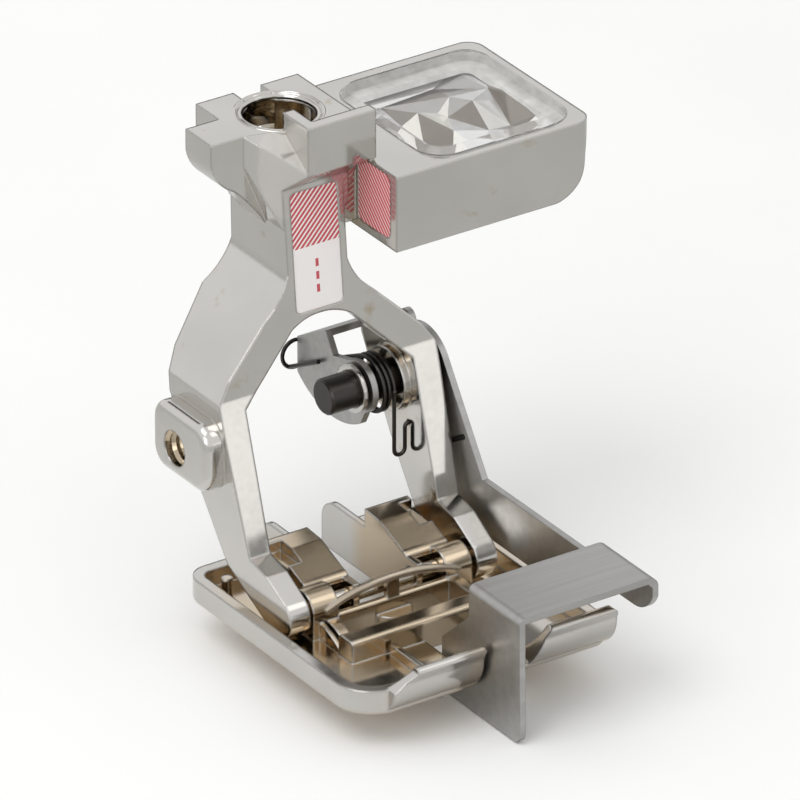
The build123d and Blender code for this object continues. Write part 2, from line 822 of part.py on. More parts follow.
# Pivot pin, pressed through the boss and riveted over outside the arm
with BuildPart() as pivot_pin:
    with BuildSketch(Plane.YZ.offset(pivot_end)):
        with Locations((pivot_y, pivot_z)):
            Circle(pivot_r)
    extrude(amount=arm_x + sheet + part_gap + pivot_head - pivot_end)
    chamfer(pivot_pin.faces().sort_by(Axis.X)[0].edges(), pivot_edge)
    with BuildSketch(Plane.YZ.offset(arm_x + sheet + part_gap)):
        with Locations((pivot_y, pivot_z)):
            Circle(pivot_head_r)
    extrude(amount=pivot_head)
    chamfer(pivot_pin.faces().sort_by(Axis.X)[-1].edges(), pivot_edge)

# Washer against the inner eye plate
with BuildPart() as pivot_washer:
    with BuildSketch(Plane.YZ.offset(eye_plate_x - part_gap - washer_thick)):
        with Locations((pivot_y, pivot_z)):
            Circle(pivot_r + washer_w)
            Circle(pivot_r, mode=Mode.SUBTRACT)
    extrude(amount=washer_thick)

# Torsion spring around the pin: coil, tail with its ring behind the guide's tab, and the loop into the leg
coil_x = eye_plate_x + sheet + spring_gap + spring_wire / 2
ring_y = web_back_y + ring_gap + spring_wire / 2
tail_z = -ring_z - 0.8 * ring_r
tail_reach = hypot(ring_y - pivot_y, tail_z - pivot_z)
tail_long = (tail_reach**2 - spring_r**2) ** 0.5
tail_angle = atan2(tail_z - pivot_z, ring_y - pivot_y) + acos(spring_r / tail_reach)
coil_turns = spring_turns + (180 - degrees(tail_angle)) / 360
coil_end_x = coil_x + coil_turns * spring_pitch
hook_start = Vector(ring_x - 0.5 * ring_r, ring_y, -ring_z - 0.866 * ring_r)
hook_end = Vector(eye_plate_x - spring_gap - spring_wire / 2, hook_tip_y, -hook_tip_z)
coil_plane = Plane(
    origin=(coil_x, pivot_y, pivot_z),
    x_dir=(0, cos(tail_angle), sin(tail_angle)),
    z_dir=(1, 0, 0),
)
with BuildPart() as return_spring:
    with BuildLine():
        coil = Helix(spring_pitch, spring_pitch * coil_turns, spring_r, mode=Mode.PRIVATE)
        add(coil_plane.location * coil)
    with BuildSketch(Plane(origin=coil_plane.from_local_coords((spring_r, 0, 0)), z_dir=coil_plane.y_dir)):
        RegularPolygon(spring_wire / 2, wire_sides)
    sweep()
    # tail and ring
    with BuildSketch(Plane(origin=(coil_x, ring_y, tail_z), z_dir=-coil_plane.y_dir)):
        Circle(spring_wire / 2)
    extrude(amount=-tail_long)
    with BuildSketch(Plane.XY.offset(-ring_z)):
        with Locations((ring_x + ring_r, ring_y)):
            RegularPolygon(spring_wire / 2, wire_sides)
    revolve(axis=Axis((ring_x, ring_y, -ring_z), (0, 1, 0)), revolution_arc=360)
    # hook in front of the tab
    with BuildSketch(Plane(origin=hook_start, z_dir=hook_end - hook_start)):
        Circle(spring_wire / 2)
    extrude(amount=(hook_end - hook_start).length)
    # loop down from the coil and up into its hole in the leg
    with BuildLine():
        loop = FilletPolyline(
            (coil_end_x, loop_y, pivot_z),
            (coil_end_x, loop_y, -loop_low),
            (inner_elbow_x - spring_wire, loop_y, -loop_low),
            (inner_elbow_x - spring_wire, loop_y, -loop_anchor_z),
            (inner_elbow_x + loop_hole, loop_y, -loop_anchor_z),
            radius=(loop_bend, loop_bend, spring_wire),
        )
    with BuildSketch(Plane(origin=loop @ 0, z_dir=loop % 0)):
        RegularPolygon(spring_wire / 2, wire_sides)
    sweep()
    with Locations((coil_end_x, loop_y, pivot_z)):
        Sphere(joint_r)

# Clear window of the sensor box, bonded in its recess, and the mirror plate under it
with BuildPart() as sensor_window:
    with BuildSketch(Plane.XY.offset(-box_top + window_rise)):
        with Locations(((window_left + window_right) / 2, (window_back - window_front) / 2)):
            RectangleRounded(window_right - window_left, window_front + window_back, window_corner)
    extrude(amount=-window_rise - window_thick)
    chamfer(sensor_window.faces().sort_by(Axis.Z)[-1].edges(), window_bevel)

facets_across = int((window_right - window_left - 2 * mirror_thick) / facet_w)
facets_deep = int((window_front + window_back - 2 * mirror_thick) / facet_w)
with BuildPart() as sensor_mirror:
    with BuildSketch(Plane.XY.offset(-box_top - window_deep)):
        with Locations(((window_left + window_right) / 2, (window_back - window_front) / 2)):
            RectangleRounded(window_right - window_left, window_front + window_back, window_corner)
    extrude(amount=mirror_thick)
    with BuildSketch(Plane.XY.offset(-box_top - window_deep + mirror_thick)):
        with Locations(((window_left + window_right) / 2, (window_back - window_front) / 2)):
            with GridLocations(facet_w, facet_w, facets_across, facets_deep):
                Rectangle(facet_w, facet_w)
    extrude(amount=facet_rise, taper=facet_taper)

# Colour labels, let into the neck and the side of the box
label_lean = atan2(crotch_front - neck_front, crotch_z - chin_z)
label_mid = (label_top + label_bottom) / 2
label_y = -neck_front - (label_mid - chin_z) * (crotch_front - neck_front) / (crotch_z - chin_z)
label_plane = Plane(
    origin=(0, label_y + label_sunk, -label_mid),
    x_dir=(1, 0, 0),
    z_dir=(0, -cos(label_lean), sin(label_lean)),
)
with BuildPart() as label_pocket:
    with BuildSketch(label_plane):
        RectangleRounded(label_w, label_bottom - label_top, label_corner)
    extrude(amount=3)

with BuildPart() as front_label:
    with BuildSketch(label_plane):
        RectangleRounded(label_w, label_bottom - label_top, label_corner)
    extrude(amount=label_thick)

side_label_w = side_label_front - side_label_back
side_label_h = side_label_low - side_label_top
side_plane = Plane(
    origin=(box_left + label_sunk, -side_label_back - side_label_w / 2, -side_label_top - side_label_h / 2),
    x_dir=(0, -1, 0),
    z_dir=(-1, 0, 0),
)
with BuildPart() as side_pocket:
    with BuildSketch(side_plane):
        RectangleRounded(side_label_w, side_label_h, side_label_corner)
    extrude(amount=1)

with BuildPart() as side_label:
    with BuildSketch(side_plane):
        RectangleRounded(side_label_w, side_label_h, side_label_corner)
    extrude(amount=label_thick)

with BuildPart() as fork_cast:
    add(fork_body.part)
    add(label_pocket.part, mode=Mode.SUBTRACT)
    add(side_pocket.part, mode=Mode.SUBTRACT)

pieces = {
    "fork_body": fork_cast,
    "sole": sole,
    "hinge_axle": hinge_axle,
    "edge_guide": edge_guide,
    "pivot_pin": pivot_pin,
    "pivot_washer": pivot_washer,
    "return_spring": return_spring,
    "sensor_window": sensor_window,
    "sensor_mirror": sensor_mirror,
    "front_label": front_label,
    "side_label": side_label,
}
os.makedirs("parts", exist_ok=True)
for name, piece in pieces.items():
    piece.part.label = name
    export_step(piece.part, "parts/" + name + ".step")
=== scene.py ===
import json
import math

import bmesh
import bpy
from bpy.props import FloatProperty, FloatVectorProperty, PointerProperty
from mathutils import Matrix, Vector
from mathutils.geometry import delaunay_2d_cdt


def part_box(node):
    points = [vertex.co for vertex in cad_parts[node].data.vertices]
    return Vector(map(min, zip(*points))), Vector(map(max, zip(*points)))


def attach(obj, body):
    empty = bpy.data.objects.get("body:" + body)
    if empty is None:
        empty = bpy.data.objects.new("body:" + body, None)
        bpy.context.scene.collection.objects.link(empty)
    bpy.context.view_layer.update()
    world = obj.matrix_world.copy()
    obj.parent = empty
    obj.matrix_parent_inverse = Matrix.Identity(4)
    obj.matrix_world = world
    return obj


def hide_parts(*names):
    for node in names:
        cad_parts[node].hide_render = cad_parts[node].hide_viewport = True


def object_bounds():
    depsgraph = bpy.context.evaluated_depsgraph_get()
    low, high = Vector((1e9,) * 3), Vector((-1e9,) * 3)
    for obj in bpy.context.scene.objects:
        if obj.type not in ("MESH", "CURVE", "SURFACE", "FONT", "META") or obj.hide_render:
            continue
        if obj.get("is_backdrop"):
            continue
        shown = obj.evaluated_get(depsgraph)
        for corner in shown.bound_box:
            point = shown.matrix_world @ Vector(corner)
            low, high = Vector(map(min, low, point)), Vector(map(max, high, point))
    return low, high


bl_info = {
    "name": "Presser Foot Dresser",
    "version": (1, 0, 0),
    "blender": (4, 5, 0),
    "location": "View3D > Sidebar > Presser Foot",
    "description": "Gives a presser foot its metal, glass and print, and lights it on a pale floor",
    "category": "Object",
}

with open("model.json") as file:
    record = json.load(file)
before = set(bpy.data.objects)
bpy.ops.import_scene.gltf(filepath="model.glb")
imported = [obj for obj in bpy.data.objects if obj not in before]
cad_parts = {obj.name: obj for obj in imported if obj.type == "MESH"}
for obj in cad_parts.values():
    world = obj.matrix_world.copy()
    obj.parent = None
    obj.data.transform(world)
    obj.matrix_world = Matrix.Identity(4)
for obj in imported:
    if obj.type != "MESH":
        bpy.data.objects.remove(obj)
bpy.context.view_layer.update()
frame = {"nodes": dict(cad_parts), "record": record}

MM = 0.001

# Sockets of the colour mix node
MIX_FACTOR, MIX_UNDER, MIX_OVER, MIX_RESULT = 0, 6, 7, 2

# Rays for each shading point that look for a rounded edge, and for a hollow; the edge rays also place the
# painted dark reflection lines along edges, and the rays for a hollow place the painted shade in hollows
EDGE_SAMPLES = 6
HOLLOW_SAMPLES = 8

# Roughness that a satin zone adds
SATIN_HAZE = 0.4

# Middle of the part, where lamps and cards aim, and middle of the picture
FOOT_MIDDLE = (4 * MM, -8 * MM, -18 * MM)
PICTURE_MIDDLE = (4.03 * MM, -8.0 * MM, -18.78 * MM)


class FootSizes(bpy.types.PropertyGroup):
    """Sizes of the finishes, the fine trim and the view."""

    edge_round: FloatProperty(
        name="Edge round",
        description="How far the plating softens a corner",
        default=0.24 * MM,
        subtype="DISTANCE",
    )
    thread_pitch: FloatProperty(
        name="Thread pitch",
        description="Distance between two turns of the thread in the lug",
        default=0.5 * MM,
        subtype="DISTANCE",
    )
    # Painted shade: size of the dark bar that fills the slot in the guide's arm
    slot_shade_length: FloatProperty(
        name="Mark length",
        description="Length of the dark mark on the guide's arm",
        default=1.88 * MM,
        subtype="DISTANCE",
    )
    slot_shade_width: FloatProperty(
        name="Mark width",
        description="Width of the dark mark on the guide's arm",
        default=0.36 * MM,
        subtype="DISTANCE",
    )
    hatch_pitch: FloatProperty(
        name="Hatch pitch",
        description="Distance between two diagonal label stripes",
        default=0.42 * MM,
        subtype="DISTANCE",
    )
    hatch_low: FloatProperty(
        name="Hatch end",
        description="Height where the striped field ends",
        default=-7.85 * MM,
        subtype="DISTANCE",
    )
    dash_height: FloatProperty(
        name="Dash height",
        description="Height of the middle of the line of stitch dashes",
        default=-10.0 * MM,
        subtype="DISTANCE",
    )
    dash_span: FloatProperty(
        name="Dash span",
        description="Length of the whole line of stitch dashes",
        default=3.0 * MM,
        subtype="DISTANCE",
    )
    dash_pitch: FloatProperty(
        name="Dash pitch",
        description="Distance between two stitch dashes",
        default=0.9 * MM,
        subtype="DISTANCE",
    )
    dash_length: FloatProperty(
        name="Dash length",
        description="Length of one stitch dash",
        default=0.55 * MM,
        subtype="DISTANCE",
    )
    dash_width: FloatProperty(
        name="Dash width",
        description="Width of one stitch dash",
        default=0.24 * MM,
        subtype="DISTANCE",
    )
    window_corner: FloatProperty(
        name="Window corner",
        description="Corner radius of the window",
        default=2.0 * MM,
        subtype="DISTANCE",
    )
    seat_band: FloatProperty(
        name="Seat band",
        description="Width of the pale frame under the window's edge",
        default=1.1 * MM,
        subtype="DISTANCE",
    )
    seat_thick: FloatProperty(
        name="Seat thickness",
        description="Thickness of the pale frame under the window's edge",
        default=0.3 * MM,
        subtype="DISTANCE",
    )
    seat_rise: FloatProperty(
        name="Seat rise",
        description="Height of the pale sleeve inside the window's edge",
        default=0.96 * MM,
        subtype="DISTANCE",
    )
    view_width: FloatProperty(
        name="View width",
        description="Width of the picture at the part",
        default=51.95 * MM,
        subtype="DISTANCE",
    )
    floor_drop: FloatProperty(
        name="Floor drop",
        description="Gap between the lowest edge and the floor",
        default=0.05 * MM,
        subtype="DISTANCE",
    )


class FootColours(bpy.types.PropertyGroup):
    """Colours of the metals, the painted shade in their hollows, print, window frame and floor."""

    nickel: FloatVectorProperty(
        name="Nickel",
        description="Warm bright plating",
        default=(0.585, 0.57, 0.545),
        subtype="COLOR",
    )
    # Painted shade: the warm dark tone that the plating is painted with in hollows, in the socket and on the
    # lug's thread
    nickel_hollow_shade: FloatVectorProperty(
        name="Nickel in hollows",
        description="Plating where it is thin and warm",
        default=(0.5, 0.42, 0.305),
        subtype="COLOR",
    )
    # Painted shade: the warm dark tone that the sole's plating is painted with in its tray and hollows
    nickel_tray_shade: FloatVectorProperty(
        name="Nickel in the tray",
        description="Warm plating between the sole's ribs",
        default=(0.56, 0.465, 0.345),
        subtype="COLOR",
    )
    nickel_stain: FloatVectorProperty(
        name="Nickel stain",
        description="Small warm flecks in the plating",
        default=(0.46, 0.4, 0.31),
        subtype="COLOR",
    )
    stainless: FloatVectorProperty(
        name="Stainless",
        description="Matte sheet of the guide",
        default=(0.42, 0.415, 0.405),
        subtype="COLOR",
    )
    dark_steel: FloatVectorProperty(
        name="Dark steel",
        description="Blackened pin and spring",
        default=(0.075, 0.07, 0.065),
        subtype="COLOR",
    )
    print_red: FloatVectorProperty(
        name="Print red",
        description="Ink of the label stripes",
        default=(0.52, 0.07, 0.09),
        subtype="COLOR",
    )
    print_white: FloatVectorProperty(
        name="Print white",
        description="Ground of the label",
        default=(0.82, 0.79, 0.78),
        subtype="COLOR",
    )
    frost: FloatVectorProperty(
        name="Frost",
        description="Pale frame under the window's edge",
        default=(0.74, 0.73, 0.71),
        subtype="COLOR",
    )
    frost_shade: FloatVectorProperty(
        name="Frost shade",
        description="Darker clouds in the pale frame",
        default=(0.56, 0.55, 0.53),
        subtype="COLOR",
    )
    floor: FloatVectorProperty(
        name="Floor",
        description="Pale studio floor",
        default=(0.94, 0.94, 0.94),
        subtype="COLOR",
    )


def new_material(name):
    """A node material and its principled shader."""
    material = bpy.data.materials.new(name)
    material.use_nodes = True
    shader = material.node_tree.nodes["Principled BSDF"]
    return material, shader


def add_node(owner, kind, **values):
    """A node in the tree of a material or world, with socket values by name."""
    node = owner.node_tree.nodes.new(kind)
    for key, value in values.items():
        node.inputs[key.replace("_", " ")].default_value = value
    return node


def link(owner, source, node, socket):
    """Feeds a socket from a source, which is a node with its output, or a fixed value."""
    if isinstance(source, tuple) and isinstance(source[0], bpy.types.Node):
        owner.node_tree.links.new(source[0].outputs[source[1]], node.inputs[socket])
    else:
        node.inputs[socket].default_value = source


def calc(owner, operation, *sources):
    """The result of a math node over its sources."""
    node = add_node(owner, "ShaderNodeMath")
    node.operation = operation
    for socket, source in enumerate(sources):
        link(owner, source, node, socket)
    return node, 0


def vector_calc(owner, operation, *sources):
    """The result of a vector math node over its sources."""
    node = add_node(owner, "ShaderNodeVectorMath")
    node.operation = operation
    for socket, source in enumerate(sources):
        link(owner, source, node, socket)
    return node, "Value" if operation in ("DOT_PRODUCT", "LENGTH") else "Vector"


def rescale(owner, source, start, end, low=0.0, high=1.0):
    """A source stretched from its own start and end to low and high."""
    node = add_node(owner, "ShaderNodeMapRange", From_Min=start, From_Max=end, To_Min=low, To_Max=high)
    link(owner, source, node, "Value")
    return node, "Result"


def colour_ramp(owner, source, stops):
    """A colour that runs through the stops, each a place and its colour."""
    ramp = add_node(owner, "ShaderNodeValToRGB")
    while len(ramp.color_ramp.elements) < len(stops):
        ramp.color_ramp.elements.new(0.5)
    for element, (at, colour) in zip(ramp.color_ramp.elements, stops):
        element.position = at
        element.color = opaque(colour)
    link(owner, source, ramp, "Fac")
    return ramp, "Color"


def mix_colour(material, factor, under, over):
    """A colour mixed from one source or colour towards another."""
    mix = add_node(material, "ShaderNodeMix")
    mix.data_type = "RGBA"
    link(material, factor, mix, MIX_FACTOR)
    link(material, under, mix, MIX_UNDER)
    link(material, over, mix, MIX_OVER)
    return mix, MIX_RESULT


def opaque(colour):
    """The colour with full cover."""
    return (*colour, 1)


def tinted(colour, share):
    """The colour, darkened to a share."""
    return tuple(c * share for c in colour)


def object_place(material):
    """The part's own coordinates, in metres."""
    return add_node(material, "ShaderNodeTexCoord"), "Object"


def object_noise(material, scale, detail=3.0, stretch=(1.0, 1.0, 1.0)):
    """Noise over the part's own coordinates, scaled per metre."""
    shape = add_node(material, "ShaderNodeMapping", Scale=stretch)
    link(material, object_place(material), shape, "Vector")
    noise = add_node(material, "ShaderNodeTexNoise", Scale=scale, Detail=detail)
    link(material, (shape, "Vector"), noise, "Vector")
    return noise, "Fac"


def two_tones(material, source, low, high):
    """A colour that drifts between two tones, most of it in the middle of the source's range."""
    return colour_ramp(material, source, ((0.35, low), (0.65, high)))


def grained_gloss(material, shader, scale, smoothest, roughest):
    """Roughness that drifts with a fine grain."""
    gloss = rescale(material, object_noise(material, scale), 0.0, 1.0, smoothest, roughest)
    link(material, gloss, shader, "Roughness")


def soft_normal(material, radius):
    """The surface direction, rounded off over sharp edges."""
    bevel = add_node(material, "ShaderNodeBevel", Radius=radius)
    bevel.samples = EDGE_SAMPLES
    return bevel, "Normal"


def rounded_bump(material, shader, grain, radius):
    """Fine surface relief laid over softly rounded edges."""
    bump = add_node(material, "ShaderNodeBump", Strength=0.12, Distance=0.01 * MM)
    link(material, grain, bump, "Height")
    link(material, soft_normal(material, radius), bump, "Normal")
    link(material, (bump, "Normal"), shader, "Normal")


def painted_hollow_shade_mask(material, reach, open_at, shut_at):
    """One in deep corners and nil on open faces: the share of painted shade in hollows."""
    shelter = add_node(material, "ShaderNodeAmbientOcclusion", Distance=reach)
    shelter.samples = HOLLOW_SAMPLES
    return rescale(material, (shelter, "AO"), open_at, shut_at)


def painted_edge_line_mask(material, radius):
    """One along sharp edges and nil on flat faces: the share of painted dark reflection lines."""
    still_flat, fully_sharp = 0.995, 0.93
    flat = add_node(material, "ShaderNodeNewGeometry"), "Normal"
    match = vector_calc(material, "DOT_PRODUCT", soft_normal(material, radius), flat)
    return rescale(material, match, still_flat, fully_sharp)


def zone_mask(material, middle, half):
    """One inside an ellipsoid zone of the part and nil outside it, with a soft border."""
    outer, inner = 1.1, 0.9
    shift = vector_calc(material, "SUBTRACT", object_place(material), middle)
    share = vector_calc(material, "DIVIDE", shift, half)
    return rescale(material, vector_calc(material, "LENGTH", share), outer, inner)


def flecked(material, tone, fleck):
    """The tone with small sparse stain flecks laid over it."""
    first_seen, full = 0.66, 0.78
    spots = object_noise(material, 420.0, detail=4.0)
    return mix_colour(material, rescale(material, spots, first_seen, full), tone, opaque(fleck))


def metal(
    name,
    bright,
    shade,
    hollow,
    rough,
    grain,
    radius,
    drift=160.0,
    edge_line_share=0.78,
    reach=2.2 * MM,
    open_at=0.8,
    shut_at=0.25,
    brushed=(1.0, 1.0, 1.0),
    fleck=None,
    warm_shade_zone=None,
    satin_zone=None,
):
    """Metal whose tone drifts, with painted shade in hollows and in a warm zone, painted dark reflection
    lines along its edges, and which may carry stain flecks.
    """
    material, shader = new_material(name)
    shader.inputs["Metallic"].default_value = 1.0
    tone = two_tones(material, object_noise(material, drift, stretch=brushed), shade, bright)
    if fleck is not None:
        tone = flecked(material, tone, fleck)
    # Painted shade: inside the warm zone the tone turns to a slightly darker shade colour
    if warm_shade_zone:
        tone = mix_colour(material, zone_mask(material, *warm_shade_zone), tone, opaque(tinted(hollow, 0.92)))
    # Painted shade: hollows turn to the shade colour
    deep = painted_hollow_shade_mask(material, reach, open_at, shut_at)
    tone = mix_colour(material, deep, tone, opaque(hollow))
    # Painted reflection: sharp edges turn darker, as the dark lines that rounded edges mirror
    edge = painted_edge_line_mask(material, radius)
    tone = mix_colour(material, edge, tone, opaque(tinted(shade, edge_line_share)))
    link(material, tone, shader, "Base Color")
    fine = object_noise(material, grain, detail=5.0, stretch=brushed)
    gloss = rescale(material, fine, 0.0, 1.0, *rough)
    if satin_zone:
        haze = calc(material, "MULTIPLY", zone_mask(material, *satin_zone), SATIN_HAZE)
        gloss = calc(material, "ADD", haze, gloss)
    link(material, gloss, shader, "Roughness")
    rounded_bump(material, shader, fine, radius)
    return material


def finish_node(node, material):
    """Puts a material on a model node."""
    materials = frame["nodes"][node].data.materials
    materials.clear()
    materials.append(material)


def mount(name):
    """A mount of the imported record."""
    return next(m for m in frame["record"]["mounts"] if m["name"] == name)


def mesh_piece(name, verts, faces, material, slot, smooth=False, body="fork"):
    """A mesh object that rides on a body."""
    mesh = bpy.data.meshes.new(name)
    mesh.from_pydata(verts, [], faces)
    shell = bmesh.new()
    shell.from_mesh(mesh)
    bmesh.ops.recalc_face_normals(shell, faces=shell.faces)
    shell.to_mesh(mesh)
    shell.free()
    mesh.polygons.foreach_set("use_smooth", [smooth] * len(mesh.polygons))
    piece = bpy.data.objects.new(name, mesh)
    bpy.context.scene.collection.objects.link(piece)
    mesh.materials.append(material)
    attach(piece, body)
    return piece


def band_faces(count, first, second):
    """Faces between two closed loops of points, by the loops' numbers."""
    here, there = first * count, second * count
    return [(here + i, here + (i + 1) % count, there + (i + 1) % count, there + i) for i in range(count)]


class FOOT_OT_casting(bpy.types.Operator):
    """Plate the casting, the axle and the washer"""

    bl_idname = "foot.casting"
    bl_label = "Plate Casting"

    def execute(self, context):
        sizes = context.scene.foot_sizes
        colours = context.scene.foot_colours
        plating = metal(
            "nickel_plating",
            colours.nickel,
            tinted(colours.nickel, 0.93),
            # Colour of the painted shade in hollows
            colours.nickel_hollow_shade,
            (0.07, 0.17),
            2600.0,
            sizes.edge_round,
            reach=3.4 * MM,
            open_at=0.62,
            fleck=colours.nickel_stain,
            # Painted shade in the socket
            warm_shade_zone=((0, 0, -3.2 * MM), (2.75 * MM, 2.75 * MM, 3.2 * MM)),
            satin_zone=((-2.2 * MM, -4.2 * MM, -2.0 * MM), (1.6 * MM, 2.4 * MM, 3.6 * MM)),
        )
        for node in ("fork_body", "hinge_axle", "pivot_washer"):
            finish_node(node, plating)
        return {"FINISHED"}


# Section of the double lip, each point by its distance outside the bore and its height, in millimetres
LIP_SECTION = (
    (0.02, -2.1),
    (0.02, -0.22),
    (0.07, -0.08),
    (0.16, -0.02),
    (0.24, -0.05),
    (0.3, -0.12),
    (0.37, -0.08),
    (0.44, 0.03),
    (0.53, 0.06),
    (0.6, 0.02),
    (0.64, -0.08),
    (0.64, -2.1),
)
LIP_STEPS = 96


def turned_lip(bore):
    """Points and faces of the double lip, turned round the socket's axis."""
    verts = []
    for step in range(LIP_STEPS):
        angle = 2 * math.pi * step / LIP_STEPS
        for out, height in LIP_SECTION:
            radius = bore + out * MM
            verts.append((radius * math.cos(angle), radius * math.sin(angle), height * MM))
    faces = []
    for step in range(LIP_STEPS):
        faces += band_faces(len(LIP_SECTION), step, (step + 1) % LIP_STEPS)
    return verts, faces


def screw_thread(centre, start, turns, pitch, root, tip, steps=28):
    """Points and faces of a thread ridge inside a bore along X, from its start inwards."""
    ridge = ((root, -0.45), (tip, 0.0), (root, 0.45))
    rows = turns * steps + 1
    verts, faces = [], []
    for row in range(rows):
        angle = 2 * math.pi * row / steps
        for radius, shift in ridge:
            x = start + pitch * (row / steps + shift)
            verts.append((x, centre[0] + radius * math.cos(angle), centre[1] + radius * math.sin(angle)))
    for row in range(rows - 1):
        faces += band_faces(len(ridge), row, row + 1)
    last = len(verts)
    faces.append((0, 2, 1))
    faces.append((last - 3, last - 2, last - 1))
    return verts, faces


class FOOT_OT_socket_rim(bpy.types.Operator):
    """Turn the double lip round the socket and cut the thread in the lug"""

    bl_idname = "foot.socket_rim"
    bl_label = "Turn Socket Rim"

    def execute(self, context):
        sizes = context.scene.foot_sizes
        colours = context.scene.foot_colours
        plating = metal(
            "lip_plating",
            colours.nickel,
            tinted(colours.nickel, 0.9),
            # Colour of the painted shade in hollows
            colours.nickel_hollow_shade,
            (0.08, 0.16),
            2600.0,
            sizes.edge_round / 4,
            reach=3.0 * MM,
            open_at=0.7,
            # Painted shade in the socket
            warm_shade_zone=((0, 0, -3.2 * MM), (2.6 * MM, 2.6 * MM, 3.1 * MM)),
        )
        lip = turned_lip(mount("cone_socket")["dims"]["r_mm"] * MM)
        mesh_piece("socket_rim", *lip, plating, "nickel", smooth=True)
        # The thread carries painted shade: it is coloured throughout in the shade tone of hollows
        shaded = metal(
            "thread_plating",
            colours.nickel_hollow_shade,
            tinted(colours.nickel_hollow_shade, 0.8),
            tinted(colours.nickel_hollow_shade, 0.7),
            (0.1, 0.2),
            2600.0,
            0.02 * MM,
        )
        hole = mount("lug_screw_hole")
        bore = hole["dims"]["r_mm"] * MM
        lug_low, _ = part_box("fork_body")
        thread = screw_thread(
            hole["pos_m"][1:],
            start=lug_low.x + 0.3 * MM,
            turns=5,
            pitch=sizes.thread_pitch,
            root=bore + 0.02 * MM,
            tip=bore - 0.23 * MM,
        )
        mesh_piece("lug_thread", *thread, shaded, "nickel")
        return {"FINISHED"}


class FOOT_OT_sole(bpy.types.Operator):
    """Plate the sole"""

    bl_idname = "foot.sole"
    bl_label = "Plate Sole"

    def execute(self, context):
        sizes = context.scene.foot_sizes
        colours = context.scene.foot_colours
        plating = metal(
            "sole_plating",
            tinted(colours.nickel, 0.95),
            tinted(colours.nickel, 0.88),
            # Colour of the painted shade in the tray and hollows
            colours.nickel_tray_shade,
            (0.1, 0.2),
            2200.0,
            sizes.edge_round,
            reach=4.0 * MM,
            open_at=0.88,
            shut_at=0.45,
            fleck=colours.nickel_stain,
            # Painted shade over the sole's tray and ribs
            warm_shade_zone=((0, -12.5 * MM, 0), (7.4 * MM, 7.4 * MM, 1.0)),
        )
        finish_node("sole", plating)
        return {"FINISHED"}


def slot_bar(centre, lean, length, width, near, far, steps=8):
    """Points and faces of a round-ended bar that fills a slot in an upright sheet."""
    turn = math.radians(lean)
    outline = []
    for side in (1, -1):
        for step in range(steps + 1):
            angle = math.radians(-90 + 180 * step / steps)
            along = side * ((length - width) / 2 + width / 2 * math.cos(angle))
            up = side * width / 2 * math.sin(angle)
            y = centre[0] + along * math.cos(turn) - up * math.sin(turn)
            z = centre[1] + along * math.sin(turn) + up * math.cos(turn)
            outline.append((y, z))
    count = len(outline)
    verts = [(x, y, z) for x in (near, far) for y, z in outline]
    faces = [tuple(range(count)), tuple(reversed(range(count, 2 * count)))]
    faces += band_faces(count, 0, 1)
    return verts, faces


class FOOT_OT_guide(bpy.types.Operator):
    """Give the guide its matte sheet finish and a dark bar of painted shade in the slot of its arm"""

    bl_idname = "foot.guide"
    bl_label = "Finish Guide"

    def execute(self, context):
        sizes = context.scene.foot_sizes
        colours = context.scene.foot_colours
        sheet = metal(
            "guide_sheet",
            colours.stainless,
            tinted(colours.stainless, 0.88),
            # Colour of the painted shade in hollows
            tinted(colours.stainless, 0.62),
            (0.3, 0.48),
            5200.0,
            sizes.edge_round / 3,
            drift=1400.0,
            edge_line_share=0.8,
            reach=1.2 * MM,
            open_at=0.5,
            brushed=(0.06, 1.0, 1.0),
        )
        finish_node("edge_guide", sheet)
        # Painted shade: this near-black paint fills the slot in the arm with a bar
        ink = metal(
            "slot_shade_paint",
            tinted(colours.dark_steel, 0.8),
            tinted(colours.dark_steel, 0.5),
            tinted(colours.dark_steel, 0.3),
            (0.4, 0.6),
            4000.0,
            0.02 * MM,
        )
        mark = slot_bar(
            (-7.75 * MM, -23.1 * MM),
            lean=-31,
            length=sizes.slot_shade_length,
            width=sizes.slot_shade_width,
            near=8.8 * MM,
            far=9.1 * MM,
        )
        mesh_piece("arm_slot_shade", *mark, ink, "stainless", body="guide")
        return {"FINISHED"}


class FOOT_OT_pivot(bpy.types.Operator):
    """Blacken the pivot pin and the spring"""

    bl_idname = "foot.pivot"
    bl_label = "Finish Pivot"

    def execute(self, context):
        sizes = context.scene.foot_sizes
        colours = context.scene.foot_colours
        dark = metal(
            "black_steel",
            colours.dark_steel,
            tinted(colours.dark_steel, 0.7),
            # Colour of the painted shade in hollows
            tinted(colours.dark_steel, 0.4),
            (0.28, 0.42),
            4000.0,
            sizes.edge_round / 3,
        )
        finish_node("pivot_pin", dark)
        finish_node("return_spring", dark)
        return {"FINISHED"}


def hatch_ink(material, split, across, pitch, share):
    """One on diagonal stripes that rise across the label, and nil between them."""
    slant = calc(material, "SUBTRACT", (split, "Z"), (split, across))
    wave = calc(material, "PINGPONG", slant, pitch / 2)
    return calc(material, "LESS_THAN", wave, pitch * share / 2)


def stitch_ink(material, split, across, sizes):
    """One on an upright line of stitch dashes, and nil beside and between them."""
    aside = calc(material, "ABSOLUTE", (split, across))
    line = calc(material, "LESS_THAN", aside, sizes.dash_width / 2)
    rise = calc(material, "SUBTRACT", (split, "Z"), sizes.dash_height)
    wave = calc(material, "PINGPONG", rise, sizes.dash_pitch / 2)
    comb = calc(material, "LESS_THAN", wave, sizes.dash_length / 2)
    reach = calc(material, "ABSOLUTE", rise)
    span = calc(material, "LESS_THAN", reach, sizes.dash_span / 2)
    return calc(material, "MULTIPLY", calc(material, "MULTIPLY", line, comb), span)


